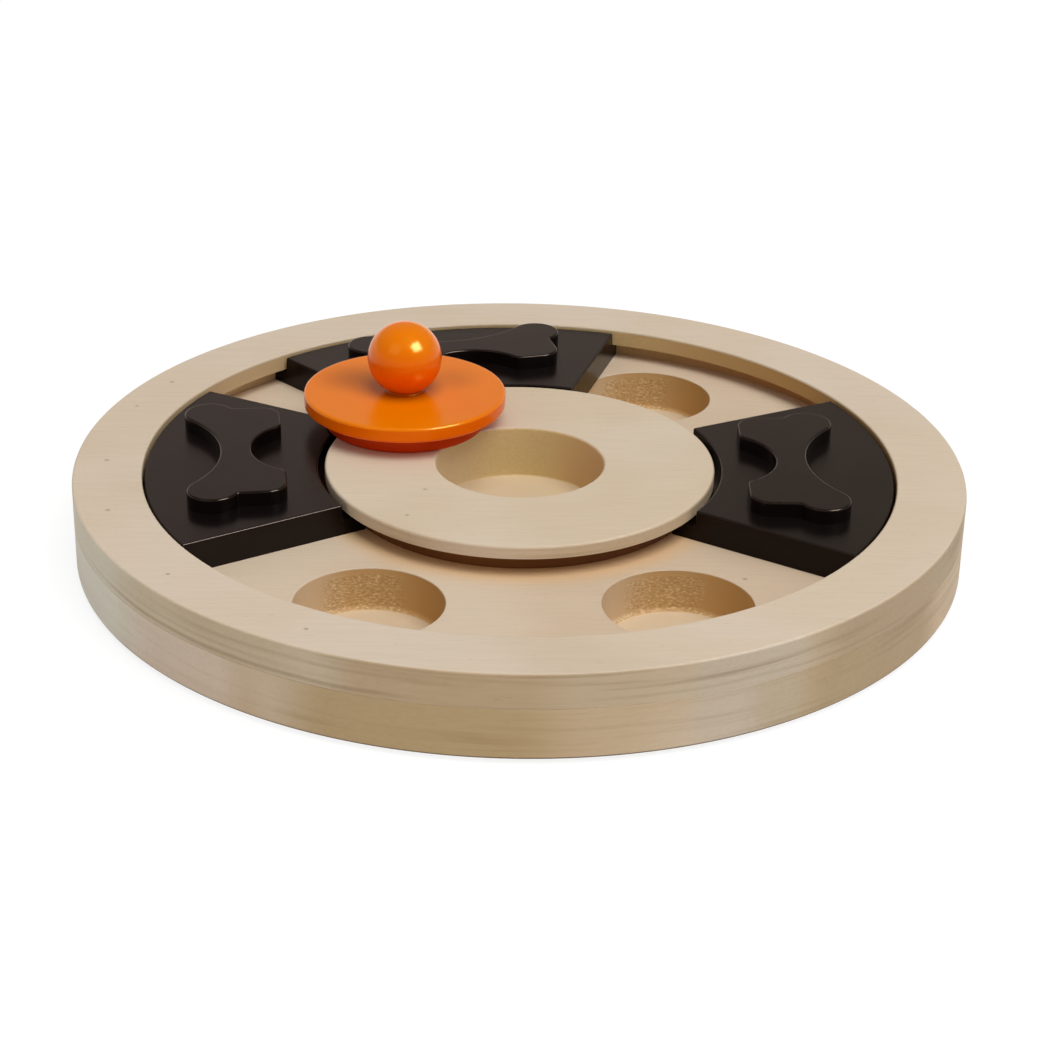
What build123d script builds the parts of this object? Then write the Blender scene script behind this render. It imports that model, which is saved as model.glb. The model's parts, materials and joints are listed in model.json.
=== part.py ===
from build123d import *
import os
from math import cos, radians, sin, sqrt

# Round wooden puzzle feeder. A base board with six treat pockets carries a rim ring and a
# raised centre plate. Three dark sliders run round the track between them, held down by a
# lip on the rim and by the edge of the centre plate. A lid with a ball knob fits the centre well.
# Millimetres and degrees. +Z is up, the origin is on the board's axis at the underside of the
# feet, and +X points through the middle of the first pocket.

# Base board
BOARD_RADIUS = 122.5
BASE_THICKNESS = 13.8
BOARD_EDGE_ROUND = 1.0
SEAM_EASE = 0.2

# Treat pockets, routed almost through the base between the centre plate and the rim
POCKET_COUNT = 6
POCKET_RADIUS = 19.5
POCKET_FLOOR_THICKNESS = 1.8
POCKET_CORNER_ROUND = 1.5
POCKET_MOUTH_EASE = 0.3

# Rubber feet
FOOT_COUNT = 4
FOOT_RADIUS = 7.0
FOOT_HEIGHT = 1.0
FOOT_INSET = 14.5
FOOT_FIRST_ANGLE = 30.0
FOOT_EDGE_ROUND = 0.3

# Rim ring
RIM_WIDTH = 18.8
RIM_HEIGHT = 9.5
RIM_GROOVE_REACH = 5.0
RIM_OUTER_ROUND = 0.7
RIM_INNER_ROUND = 0.6

# Hub and centre plate
PLATE_RADIUS = 53.9
PLATE_OVERHANG = 5.4
PLATE_THICKNESS = 3.6
PLATE_EDGE_ROUND = 0.8

# Centre well, bored through the plate and the hub and on into the base
WELL_RADIUS = 23.3
WELL_DEPTH_IN_BASE = 6.0
WELL_MOUTH_ROUND = 0.8

# Sliders
SLIDER_ANGLE = 60.0
FLANGE_THICKNESS = 4.0
SLIDER_TOP_ROUND = 0.5
SLIDER_CORNER_ROUND = 0.6

# Running clearances of the sliders
FLANGE_PLAY_UNDER_RIM = 0.6
FLANGE_PLAY_UNDER_PLATE = 1.4
FLANGE_GAP_AT_GROOVE = 0.4
FLANGE_GAP_AT_HUB = 0.5
SLIDER_GAP_AT_RIM = 0.7
SLIDER_GAP_AT_PLATE = 1.9
SLIDER_DROP_BELOW_PLATE = 0.3

# Where the middle of each slider stands, measured round the board from +X
RIGHT_SLIDER_ANGLE = -3.75
BACK_SLIDER_ANGLE = 102.6
LEFT_SLIDER_ANGLE = 181.3

# Dog-bone grips: along is measured round the board, across is measured outwards
GRIP_THICKNESS = 4.2
GRIP_TOP_ROUND = 0.6
WAIST_HALF_WIDTH = 4.25
OUTER_LOBE_RADIUS = 7.0
OUTER_LOBE_ALONG = 25.8
OUTER_LOBE_ACROSS = 6.7
INNER_LOBE_RADIUS = 5.6
INNER_LOBE_END = 28.6
INNER_LOBE_REACH = 13.1
INNER_WAIST_RADIUS = 17.0
INNER_SHOULDER_ROUND = 2.5
NOTCH_ROUND = 1.0

# How far each grip was fixed off the middle of its slider, outwards and round the board, and
# how far it was turned
RIGHT_GRIP_OUT = -4.0
RIGHT_GRIP_ALONG = -1.0
RIGHT_GRIP_TWIST = 2.5
BACK_GRIP_OUT = -0.3
BACK_GRIP_ALONG = 0.0
BACK_GRIP_TWIST = 1.0
LEFT_GRIP_OUT = -0.5
LEFT_GRIP_ALONG = 0.0
LEFT_GRIP_TWIST = 5.0

# Lid: a plug under a disc, with a ball knob on top, lying beside the well
LID_DISC_RADIUS = 28.7
LID_DISC_THICKNESS = 4.4
LID_DISC_ROUND = 0.9
LID_PLUG_HEIGHT = 5.5
LID_PLUG_GAP_IN_WELL = 0.5
LID_PLUG_ROUND = 0.6
BALL_RADIUS = 10.5
BALL_SEAT_RADIUS = 4.0
BALL_COVE_RADIUS = 1.2
BALL_FOOT_EDGE = 0.2
LID_PLACE_RADIUS = 42.3
LID_PLACE_ANGLE = 140.0

# Countersunk wood screws, driven from below. The sink is how deep the head sits in its face.
CENTRE_SCREW_RADIUS = 1.75
CENTRE_SCREW_HEAD_RADIUS = 3.5
CENTRE_SCREW_LENGTH = 20.0
CENTRE_SCREW_SINK = 1.5
GRIP_SCREW_RADIUS = 1.5
GRIP_SCREW_HEAD_RADIUS = 3.0
GRIP_SCREW_LENGTH = 10.0
GRIP_SCREW_SINK = 1.2
LID_SCREW_RADIUS = 1.75
LID_SCREW_HEAD_RADIUS = 3.5
LID_SCREW_LENGTH = 20.0
LID_SCREW_SINK = 0.5
SCREW_HOLE_GAP = 0.2
SCREW_TIP_LENGTH = 1.6
SCREW_TIP_RADIUS = 0.5
PILOT_BEYOND_TIP = 0.3
CROSS_SLOT_WIDTH = 0.9
CROSS_SLOT_SPAN = 3.4
CROSS_SLOT_DEPTH = 1.0
CENTRE_SCREW_COUNT = 3
CENTRE_SCREW_FIRST_ANGLE = 90.0
GRIP_SCREW_ALONG = 21.0

# How far a cutting tool runs on past the face that it opens
CUT_BEYOND = 1.0

# Round edges count as the same when their sizes and places agree this closely
SAME = 1e-3

# Screws by what they hold: radius, head radius, length and sink
CENTRE_SCREW = (CENTRE_SCREW_RADIUS, CENTRE_SCREW_HEAD_RADIUS, CENTRE_SCREW_LENGTH, CENTRE_SCREW_SINK)
GRIP_SCREW = (GRIP_SCREW_RADIUS, GRIP_SCREW_HEAD_RADIUS, GRIP_SCREW_LENGTH, GRIP_SCREW_SINK)
LID_SCREW = (LID_SCREW_RADIUS, LID_SCREW_HEAD_RADIUS, LID_SCREW_LENGTH, LID_SCREW_SINK)

# Sliders by where they stand: angle, then the grip's offsets outwards and along and its twist
SLIDERS = {
    "right": (RIGHT_SLIDER_ANGLE, RIGHT_GRIP_OUT, RIGHT_GRIP_ALONG, RIGHT_GRIP_TWIST),
    "back": (BACK_SLIDER_ANGLE, BACK_GRIP_OUT, BACK_GRIP_ALONG, BACK_GRIP_TWIST),
    "left": (LEFT_SLIDER_ANGLE, LEFT_GRIP_OUT, LEFT_GRIP_ALONG, LEFT_GRIP_TWIST),
}

# Heights and radii that follow from the sizes above
BASE_TOP = FOOT_HEIGHT + BASE_THICKNESS
POCKET_DEPTH = BASE_THICKNESS - POCKET_FLOOR_THICKNESS
HUB_HEIGHT = FLANGE_THICKNESS + FLANGE_PLAY_UNDER_PLATE
HUB_TOP = BASE_TOP + HUB_HEIGHT
PLATE_TOP = HUB_TOP + PLATE_THICKNESS
RIM_INNER_RADIUS = BOARD_RADIUS - RIM_WIDTH
RIM_GROOVE_HEIGHT = FLANGE_THICKNESS + FLANGE_PLAY_UNDER_RIM
RIM_GROOVE_RADIUS = RIM_INNER_RADIUS + RIM_GROOVE_REACH
HUB_RADIUS = PLATE_RADIUS - PLATE_OVERHANG
TRACK_MIDDLE_RADIUS = (PLATE_RADIUS + RIM_INNER_RADIUS) / 2
CENTRE_SCREW_PITCH_RADIUS = (WELL_RADIUS + HUB_RADIUS) / 2
FOOT_PITCH_RADIUS = BOARD_RADIUS - FOOT_INSET
SLIDER_THICKNESS = HUB_HEIGHT + PLATE_THICKNESS - SLIDER_DROP_BELOW_PLATE
SLIDER_TOP = BASE_TOP + SLIDER_THICKNESS
SLIDER_INNER_RADIUS = PLATE_RADIUS + SLIDER_GAP_AT_PLATE
SLIDER_OUTER_RADIUS = RIM_INNER_RADIUS - SLIDER_GAP_AT_RIM
FLANGE_INNER_RADIUS = HUB_RADIUS + FLANGE_GAP_AT_HUB
FLANGE_OUTER_RADIUS = RIM_GROOVE_RADIUS - FLANGE_GAP_AT_GROOVE
LID_PLUG_RADIUS = WELL_RADIUS - LID_PLUG_GAP_IN_WELL
LID_PLUG_TOP = PLATE_TOP + LID_PLUG_HEIGHT
LID_DISC_TOP = LID_PLUG_TOP + LID_DISC_THICKNESS
BALL_CENTRE_HEIGHT = sqrt(BALL_RADIUS**2 - BALL_SEAT_RADIUS**2)


def turned(section, angle=360.0):
    """Solid turned about the upright axis from (radius, height) points."""
    outline = Plane.XZ * Polyline(*section, close=True)
    return revolve(make_face(outline), Axis.Z, angle)


def disc(radius, bottom, height):
    """Upright cylinder that stands on the height given."""
    return Pos(0, 0, bottom) * Cylinder(radius, height, align=(Align.CENTER, Align.CENTER, Align.MIN))


def circle_edges(solid, height, radius):
    """Round edges of one radius that lie at one height."""
    circles = solid.edges().filter_by(GeomType.CIRCLE)
    circles = circles.filter_by(lambda edge: abs(edge.center().Z - height) < SAME)
    return circles.filter_by(lambda edge: abs(edge.radius - radius) < SAME)


def places_round(count, pitch_radius, first_angle):
    """Points spread evenly round the board's axis."""
    angles = [radians(first_angle + 360.0 / count * index) for index in range(count)]
    return [Pos(pitch_radius * cos(angle), pitch_radius * sin(angle), 0) for angle in angles]


# Countersunk screws and their holes


def countersunk_screw(size, entry_height):
    """Screw that points up, its head sunk below the face at the height given."""
    radius, head_radius, length, sink = size
    head_height = head_radius - radius
    section = [
        (0, 0),
        (head_radius, 0),
        (radius, head_height),
        (radius, length - SCREW_TIP_LENGTH),
        (SCREW_TIP_RADIUS, length),
        (0, length),
    ]
    screw = turned(section)
    slot = Box(CROSS_SLOT_SPAN, CROSS_SLOT_WIDTH, 2 * CROSS_SLOT_DEPTH)
    screw -= slot
    screw -= Rot(0, 0, 90) * slot
    return Pos(0, 0, entry_height + sink) * screw


def screw_passage(size, entry_height, seat_top):
    """Countersink and clearance hole from the entry face up to the top of the first piece."""
    radius, head_radius, length, sink = size
    hole_radius = radius + SCREW_HOLE_GAP
    mouth = entry_height - CUT_BEYOND
    seat = entry_height + sink
    section = [
        (0, mouth),
        (head_radius, mouth),
        (head_radius, seat),
        (hole_radius, seat + head_radius - hole_radius),
        (hole_radius, seat_top + CUT_BEYOND),
        (0, seat_top + CUT_BEYOND),
    ]
    return turned(section)


def screw_pilot(size, entry_height):
    """Hole that the thread bites in, a little deeper than the screw's tip."""
    radius, head_radius, length, sink = size
    return disc(radius, entry_height, sink + length + PILOT_BEYOND_TIP)


# Base board, hub and centre plate


def make_pocket():
    pocket = disc(POCKET_RADIUS, BASE_TOP - POCKET_DEPTH, POCKET_DEPTH + CUT_BEYOND)
    floor_edge = circle_edges(pocket, BASE_TOP - POCKET_DEPTH, POCKET_RADIUS)
    return fillet(floor_edge, POCKET_CORNER_ROUND)


def centre_screw_places():
    return places_round(CENTRE_SCREW_COUNT, CENTRE_SCREW_PITCH_RADIUS, CENTRE_SCREW_FIRST_ANGLE)


def make_base_board():
    board = disc(BOARD_RADIUS, FOOT_HEIGHT, BASE_THICKNESS)
    board = fillet(circle_edges(board, FOOT_HEIGHT, BOARD_RADIUS), BOARD_EDGE_ROUND)
    board = chamfer(circle_edges(board, BASE_TOP, BOARD_RADIUS), SEAM_EASE)
    pocket = make_pocket()
    for place in places_round(POCKET_COUNT, TRACK_MIDDLE_RADIUS, 0):
        board -= place * pocket
    board = chamfer(circle_edges(board, BASE_TOP, POCKET_RADIUS), POCKET_MOUTH_EASE)
    board -= disc(WELL_RADIUS, BASE_TOP - WELL_DEPTH_IN_BASE, WELL_DEPTH_IN_BASE + CUT_BEYOND)
    passage = screw_passage(CENTRE_SCREW, FOOT_HEIGHT, BASE_TOP)
    for place in centre_screw_places():
        board -= place * passage
    return board


def make_rim_ring():
    groove_top = BASE_TOP + RIM_GROOVE_HEIGHT
    rim_top = BASE_TOP + RIM_HEIGHT
    section = [
        (RIM_GROOVE_RADIUS, BASE_TOP),
        (BOARD_RADIUS, BASE_TOP),
        (BOARD_RADIUS, rim_top),
        (RIM_INNER_RADIUS, rim_top),
        (RIM_INNER_RADIUS, groove_top),
        (RIM_GROOVE_RADIUS, groove_top),
    ]
    rim = turned(section)
    rim = fillet(circle_edges(rim, rim_top, BOARD_RADIUS), RIM_OUTER_ROUND)
    rim = fillet(circle_edges(rim, rim_top, RIM_INNER_RADIUS), RIM_INNER_ROUND)
    return chamfer(circle_edges(rim, BASE_TOP, BOARD_RADIUS), SEAM_EASE)


def make_hub_disc():
    hub = disc(HUB_RADIUS, BASE_TOP, HUB_HEIGHT)
    hub -= disc(WELL_RADIUS, BASE_TOP - CUT_BEYOND, HUB_HEIGHT + 2 * CUT_BEYOND)
    pilot = screw_pilot(CENTRE_SCREW, FOOT_HEIGHT)
    for place in centre_screw_places():
        hub -= place * pilot
    return hub


def make_centre_plate():
    plate = disc(PLATE_RADIUS, HUB_TOP, PLATE_THICKNESS)
    plate -= disc(WELL_RADIUS, HUB_TOP - CUT_BEYOND, PLATE_THICKNESS + 2 * CUT_BEYOND)
    plate = fillet(circle_edges(plate, PLATE_TOP, PLATE_RADIUS), PLATE_EDGE_ROUND)
    plate = fillet(circle_edges(plate, PLATE_TOP, WELL_RADIUS), WELL_MOUTH_ROUND)
    pilot = screw_pilot(CENTRE_SCREW, FOOT_HEIGHT)
    for place in centre_screw_places():
        plate -= place * pilot
    return plate


def make_rubber_feet():
    foot = disc(FOOT_RADIUS, 0, FOOT_HEIGHT)
    foot = fillet(circle_edges(foot, 0, FOOT_RADIUS), FOOT_EDGE_ROUND)
    places = places_round(FOOT_COUNT, FOOT_PITCH_RADIUS, FOOT_FIRST_ANGLE)
    return Compound([place * foot for place in places])


def make_centre_screws():
    screw = countersunk_screw(CENTRE_SCREW, FOOT_HEIGHT)
    return Compound([place * screw for place in centre_screw_places()])


# Sliders and their dog-bone grips. Each is made with its middle on +X, then turned to its place.


def grip_place(side):
    """Middle of a grip, its X across and its Y along."""
    angle, out, along, twist = SLIDERS[side]
    return Pos(TRACK_MIDDLE_RADIUS + out, along, 0) * Rot(0, 0, twist)


def grip_screw_places(side):
    return [grip_place(side) * Pos(0, along, 0) for along in (-GRIP_SCREW_ALONG, GRIP_SCREW_ALONG)]


def at_rest(side, solid):
    angle, out, along, twist = SLIDERS[side]
    return Rot(0, 0, angle) * solid


def make_slider_body(side):
    """Sector of a ring with a flange along its inner and outer edges."""
    flange_top = BASE_TOP + FLANGE_THICKNESS
    section = [
        (FLANGE_INNER_RADIUS, BASE_TOP),
        (FLANGE_OUTER_RADIUS, BASE_TOP),
        (FLANGE_OUTER_RADIUS, flange_top),
        (SLIDER_OUTER_RADIUS, flange_top),
        (SLIDER_OUTER_RADIUS, SLIDER_TOP),
        (SLIDER_INNER_RADIUS, SLIDER_TOP),
        (SLIDER_INNER_RADIUS, flange_top),
        (FLANGE_INNER_RADIUS, flange_top),
    ]
    body = Rot(0, 0, -SLIDER_ANGLE / 2) * turned(section, SLIDER_ANGLE)
    upright = body.edges().filter_by(Axis.Z).group_by(Axis.Z)[-1]
    body = fillet(upright, SLIDER_CORNER_ROUND)
    body = fillet(body.faces().sort_by(Axis.Z)[-1].edges(), SLIDER_TOP_ROUND)
    passage = screw_passage(GRIP_SCREW, BASE_TOP, SLIDER_TOP)
    for place in grip_screw_places(side):
        body -= place * passage
    return at_rest(side, body)


def corners_at(bone, point):
    """The two corners of a bone's outline that stand at a point and at its mirror image."""
    corners = bone.vertices().filter_by(lambda corner: abs(corner.X - point.X) < SAME)
    return corners.filter_by(lambda corner: abs(abs(corner.Y) - point.Y) < SAME)


def bone_outline():
    """Dog-bone face, X across and Y along, the same on both sides of its waist."""
    lobe = Vector(OUTER_LOBE_ACROSS, OUTER_LOBE_ALONG)
    rise = OUTER_LOBE_ACROSS - WAIST_HALF_WIDTH
    spread = OUTER_LOBE_ALONG**2 + rise**2 - OUTER_LOBE_RADIUS**2
    waist_radius = spread / (2 * (OUTER_LOBE_RADIUS + rise))
    waist_centre = Vector(WAIST_HALF_WIDTH + waist_radius, 0)
    neck = lobe + (waist_centre - lobe).normalized() * OUTER_LOBE_RADIUS
    lobe_tip = lobe + Vector(0, OUTER_LOBE_RADIUS)
    lobe_side = lobe + Vector(OUTER_LOBE_RADIUS, 0)
    notch_depth = INNER_LOBE_END - OUTER_LOBE_ALONG
    notch = Vector(OUTER_LOBE_ACROSS - sqrt(OUTER_LOBE_RADIUS**2 - notch_depth**2), INNER_LOBE_END)
    lobe_end = lobe + (notch - lobe + lobe_tip - lobe).normalized() * OUTER_LOBE_RADIUS
    end_corner = Vector(-INNER_LOBE_REACH, INNER_LOBE_END)
    below_waist = INNER_WAIST_RADIUS - (INNER_LOBE_REACH - WAIST_HALF_WIDTH)
    shoulder = Vector(-INNER_LOBE_REACH, sqrt(INNER_WAIST_RADIUS**2 - below_waist**2))
    half = [
        ThreePointArc(neck, lobe_side, lobe_tip),
        ThreePointArc(lobe_tip, lobe_end, notch),
        Line(notch, end_corner),
        Line(end_corner, shoulder),
    ]
    other_half = [mirror(edge, Plane.XZ) for edge in half]
    neck_below = Vector(neck.X, -neck.Y)
    shoulder_below = Vector(shoulder.X, -shoulder.Y)
    waists = [
        ThreePointArc(neck, Vector(WAIST_HALF_WIDTH, 0), neck_below),
        ThreePointArc(shoulder, Vector(-WAIST_HALF_WIDTH, 0), shoulder_below),
    ]
    bone = make_face(Curve() + half + other_half + waists)

    bone = fillet(corners_at(bone, end_corner), INNER_LOBE_RADIUS)
    bone = fillet(corners_at(bone, shoulder), INNER_SHOULDER_ROUND)
    return fillet(corners_at(bone, notch), NOTCH_ROUND)


def make_slider_grip(side):
    grip = Pos(0, 0, SLIDER_TOP) * extrude(bone_outline(), GRIP_THICKNESS)
    grip = fillet(grip.faces().sort_by(Axis.Z)[-1].edges(), GRIP_TOP_ROUND)
    grip = grip_place(side) * grip
    pilot = screw_pilot(GRIP_SCREW, BASE_TOP)
    for place in grip_screw_places(side):
        grip -= place * pilot
    return at_rest(side, grip)


def make_slider_screws(side):
    screw = countersunk_screw(GRIP_SCREW, BASE_TOP)
    return Compound([at_rest(side, place * screw) for place in grip_screw_places(side)])


# Lid, made on the board's axis, then moved to where it lies


def beside_well(solid):
    return Rot(0, 0, LID_PLACE_ANGLE) * Pos(LID_PLACE_RADIUS, 0, 0) * solid


def make_lid_plug():
    plug = disc(LID_PLUG_RADIUS, PLATE_TOP, LID_PLUG_HEIGHT)
    plug = fillet(circle_edges(plug, PLATE_TOP, LID_PLUG_RADIUS), LID_PLUG_ROUND)
    return beside_well(plug - screw_passage(LID_SCREW, PLATE_TOP, LID_PLUG_TOP))


def make_lid_disc():
    lid = disc(LID_DISC_RADIUS, LID_PLUG_TOP, LID_DISC_THICKNESS)
    lid = fillet(circle_edges(lid, LID_PLUG_TOP, LID_DISC_RADIUS), LID_DISC_ROUND)
    lid = fillet(circle_edges(lid, LID_DISC_TOP, LID_DISC_RADIUS), LID_DISC_ROUND)
    return beside_well(lid - screw_passage(LID_SCREW, PLATE_TOP, LID_DISC_TOP))


def make_lid_ball_knob():
    """Ball with its underside flattened to a seat, and a cove that runs from it out to a thin foot."""
    ball_centre = Vector(0, BALL_CENTRE_HEIGHT)
    cove_height = BALL_FOOT_EDGE + BALL_COVE_RADIUS
    centre_gap = BALL_RADIUS + BALL_COVE_RADIUS
    foot_radius = sqrt(centre_gap**2 - (BALL_CENTRE_HEIGHT - cove_height) ** 2)
    cove_centre = Vector(foot_radius, cove_height)
    to_ball = (ball_centre - cove_centre).normalized()
    neck = cove_centre + to_ball * BALL_COVE_RADIUS
    foot_top = Vector(foot_radius, BALL_FOOT_EDGE)
    cove_middle = cove_centre + (to_ball + Vector(0, -1)).normalized() * BALL_COVE_RADIUS
    crown = ball_centre + Vector(0, BALL_RADIUS)
    outline = [
        Line((0, 0), (foot_radius, 0)),
        Line((foot_radius, 0), foot_top),
        ThreePointArc(foot_top, cove_middle, neck),
        ThreePointArc(neck, ball_centre + Vector(BALL_RADIUS, 0), crown),
        Line(crown, (0, 0)),
    ]
    ball = revolve(Plane.XZ * make_face(Curve() + outline), Axis.Z, 360)
    ball = Pos(0, 0, LID_DISC_TOP) * ball
    return beside_well(ball - screw_pilot(LID_SCREW, PLATE_TOP))


def make_lid_knob_screw():
    return beside_well(countersunk_screw(LID_SCREW, PLATE_TOP))


pieces = {
    "base_board": make_base_board(),
    "rim_ring": make_rim_ring(),
    "hub_disc": make_hub_disc(),
    "centre_plate": make_centre_plate(),
    "centre_screws": make_centre_screws(),
    "rubber_feet": make_rubber_feet(),
}
for side in SLIDERS:
    pieces[f"slider_{side}_body"] = make_slider_body(side)
    pieces[f"slider_{side}_grip"] = make_slider_grip(side)
    pieces[f"slider_{side}_screws"] = make_slider_screws(side)
pieces["lid_plug"] = make_lid_plug()
pieces["lid_disc"] = make_lid_disc()
pieces["lid_ball_knob"] = make_lid_ball_knob()
pieces["lid_knob_screw"] = make_lid_knob_screw()

os.makedirs("parts", exist_ok=True)
for name, piece in pieces.items():
    export_step(piece, f"parts/{name}.step")
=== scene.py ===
import json
from math import pi, radians, sin, sqrt, tau

import bmesh
import bpy
from mathutils import Matrix, Vector

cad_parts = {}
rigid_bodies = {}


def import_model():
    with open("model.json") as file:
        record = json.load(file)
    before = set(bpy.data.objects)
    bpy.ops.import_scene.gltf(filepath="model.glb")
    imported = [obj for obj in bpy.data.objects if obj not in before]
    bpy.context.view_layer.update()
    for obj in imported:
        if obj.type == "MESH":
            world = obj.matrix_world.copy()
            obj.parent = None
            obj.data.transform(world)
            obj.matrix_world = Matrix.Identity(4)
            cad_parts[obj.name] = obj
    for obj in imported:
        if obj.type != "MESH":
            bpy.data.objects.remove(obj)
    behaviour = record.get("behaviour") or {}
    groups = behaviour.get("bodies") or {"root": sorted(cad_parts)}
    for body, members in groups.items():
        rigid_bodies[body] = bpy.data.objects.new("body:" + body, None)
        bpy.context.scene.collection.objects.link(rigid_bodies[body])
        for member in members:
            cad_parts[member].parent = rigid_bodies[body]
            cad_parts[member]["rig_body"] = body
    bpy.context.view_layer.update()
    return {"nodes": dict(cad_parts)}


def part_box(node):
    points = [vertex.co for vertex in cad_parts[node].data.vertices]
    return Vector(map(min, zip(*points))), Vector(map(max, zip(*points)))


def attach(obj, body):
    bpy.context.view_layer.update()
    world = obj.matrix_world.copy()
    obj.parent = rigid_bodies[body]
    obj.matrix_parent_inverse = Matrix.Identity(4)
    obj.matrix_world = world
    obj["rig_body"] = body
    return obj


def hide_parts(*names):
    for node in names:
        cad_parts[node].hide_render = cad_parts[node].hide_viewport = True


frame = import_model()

MM = 0.001


# Base board
# The thick bottom disc, flat-sawn limewood with its grain running left to right, turned and
# sanded bare. Six treat pockets and the floor of the well are routed into it, and the cutter
# leaves their walls browner and rougher than the faces.

BOARD_RADIUS = 122.5
BOARD_EDGE_ROUND = 1.0
SEAM_EASE = 0.2
POCKET_RADIUS = 19.5
POCKET_DEPTH = 12.0
POCKET_CORNER_ROUND = 1.5
POCKET_MOUTH_EASE = 0.3
TRACK_MIDDLE_RADIUS = 78.8
WELL_RADIUS = 23.3
WELL_DEPTH_IN_BASE = 6.0
WELL_FLOOR_ROUND = 0.5
CENTRE_SCREW_PITCH_RADIUS = 35.9
CENTRE_SCREW_SINK = 1.5
SCREW_HEAD_RADIUS = 3.5
SCREW_HOLE_RADIUS = 1.95
SCREW_HOLE_END_BELOW_TOP = 1.0
COUNTERSINK_HEIGHT = SCREW_HEAD_RADIUS - SCREW_HOLE_RADIUS
WARM_SHADE_RADIUS = 61.0
WARM_SHADE_FADE = 9.0
RING_FADE = 22.0
TEAR_START = 1.2
TEAR_FULL = 2.4
TEAR_TO_THE_EDGE = 2.0
FACE_RING = 0.6
UNDERSIDE_RING = 3.0
WALL_TOLERANCE = 0.1
SAME_LEVEL = 1e-4
SAME_POINT = 0.001
SHARP_EDGE = radians(30)


def levels(node):
    """Heights of a node's underside and top, in mm."""
    low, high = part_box(node)
    return low.z / MM, high.z / MM


BASE_BOTTOM, BASE_TOP = levels("base_board")


def turned(work, outline, centre=(0, 0), angle=tau, steps=192, closed=False, finish=0):
    """Turn an outline about an upright axis. Its corners are (radius, height) in mm, and a third
    number rounds a corner. finish is the material slot that the faces take."""
    known = set(work.verts) | set(work.edges) | set(work.faces)
    corners = [work.verts.new((radius, 0, height)) for radius, height, *rounding in outline]
    for start, end in zip(corners, corners[1:] + corners[:1] if closed else corners[1:]):
        work.edges.new((start, end))
    for corner, (radius, height, *rounding) in zip(corners, outline):
        if rounding:
            bmesh.ops.bevel(
                work, geom=[corner], affect="VERTICES", offset=rounding[0], offset_type="OFFSET",
                segments=5, profile=0.5, material=-1,
            )
    swept(work, known, angle, steps)
    bmesh.ops.translate(work, verts=[v for v in work.verts if v not in known], vec=(*centre, 0))
    for face in work.faces:
        if face not in known:
            face.material_index = finish


def swept(work, known, angle, steps):
    """Spin what isn't known yet about the upright axis."""
    wire = [part for part in [*work.verts, *work.edges] if part not in known]
    bmesh.ops.spin(
        work, geom=wire, cent=(0, 0, 0), axis=(0, 0, 1), angle=angle, steps=steps,
        use_merge=angle == tau,
    )


def fill_level(work, height):
    """Close the flat face that open loops leave at one height."""
    loops = [
        edge for edge in work.edges
        if edge.is_boundary and all(abs(end.co.z - height) < SAME_LEVEL for end in edge.verts)
    ]
    bmesh.ops.triangle_fill(work, use_beauty=True, use_dissolve=False, edges=loops)


def dress(work, node, materials):
    """Put a piece modelled in mm in place of its CAD node, smooth across its round faces."""
    bmesh.ops.remove_doubles(work, verts=work.verts, dist=SAME_POINT)
    bmesh.ops.recalc_face_normals(work, faces=work.faces)
    bmesh.ops.scale(work, verts=work.verts, vec=(MM, MM, MM))
    for face in work.faces:
        face.smooth = True
    for edge in work.edges:
        edge.smooth = edge.calc_face_angle(pi) < SHARP_EDGE
    mesh = bpy.data.meshes.new(node + "_dressed")
    work.to_mesh(mesh)
    work.free()
    for material in materials:
        mesh.materials.append(material)
    piece = bpy.data.objects.new(node + "_dressed", mesh)
    bpy.context.scene.collection.objects.link(piece)
    flat_faces_first = piece.modifiers.new("flat_faces_first", "WEIGHTED_NORMAL")
    flat_faces_first.keep_sharp = True
    flat_faces_first.weight = 100
    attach(piece, frame["nodes"][node]["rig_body"])
    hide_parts(node)


def linear(hex_colour):
    """Linear colour of an sRGB hex value."""
    channels = [int(hex_colour[start : start + 2], 16) / 255 for start in (1, 3, 5)]
    return [c / 12.92 if c <= 0.04045 else ((c + 0.055) / 1.055) ** 2.4 for c in channels] + [1]


def new_material(name):
    material = bpy.data.materials.new(name)
    material.use_nodes = True
    material.node_tree.nodes.clear()
    return material


def add_node(owner, kind, sockets=None, **settings):
    """Add a node to a material or the world. Its settings come first, then the values of its
    sockets or the sockets that they link from. On a colour Mix, socket 0 is the factor, 6 and 7
    are the two colours and output 2 is the result."""
    node = owner.node_tree.nodes.new(kind)
    for name, value in settings.items():
        setattr(node, name, value)
    for name, value in (sockets or {}).items():
        if isinstance(value, bpy.types.NodeSocket):
            owner.node_tree.links.new(value, node.inputs[name])
        else:
            node.inputs[name].default_value = value
    return node


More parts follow.
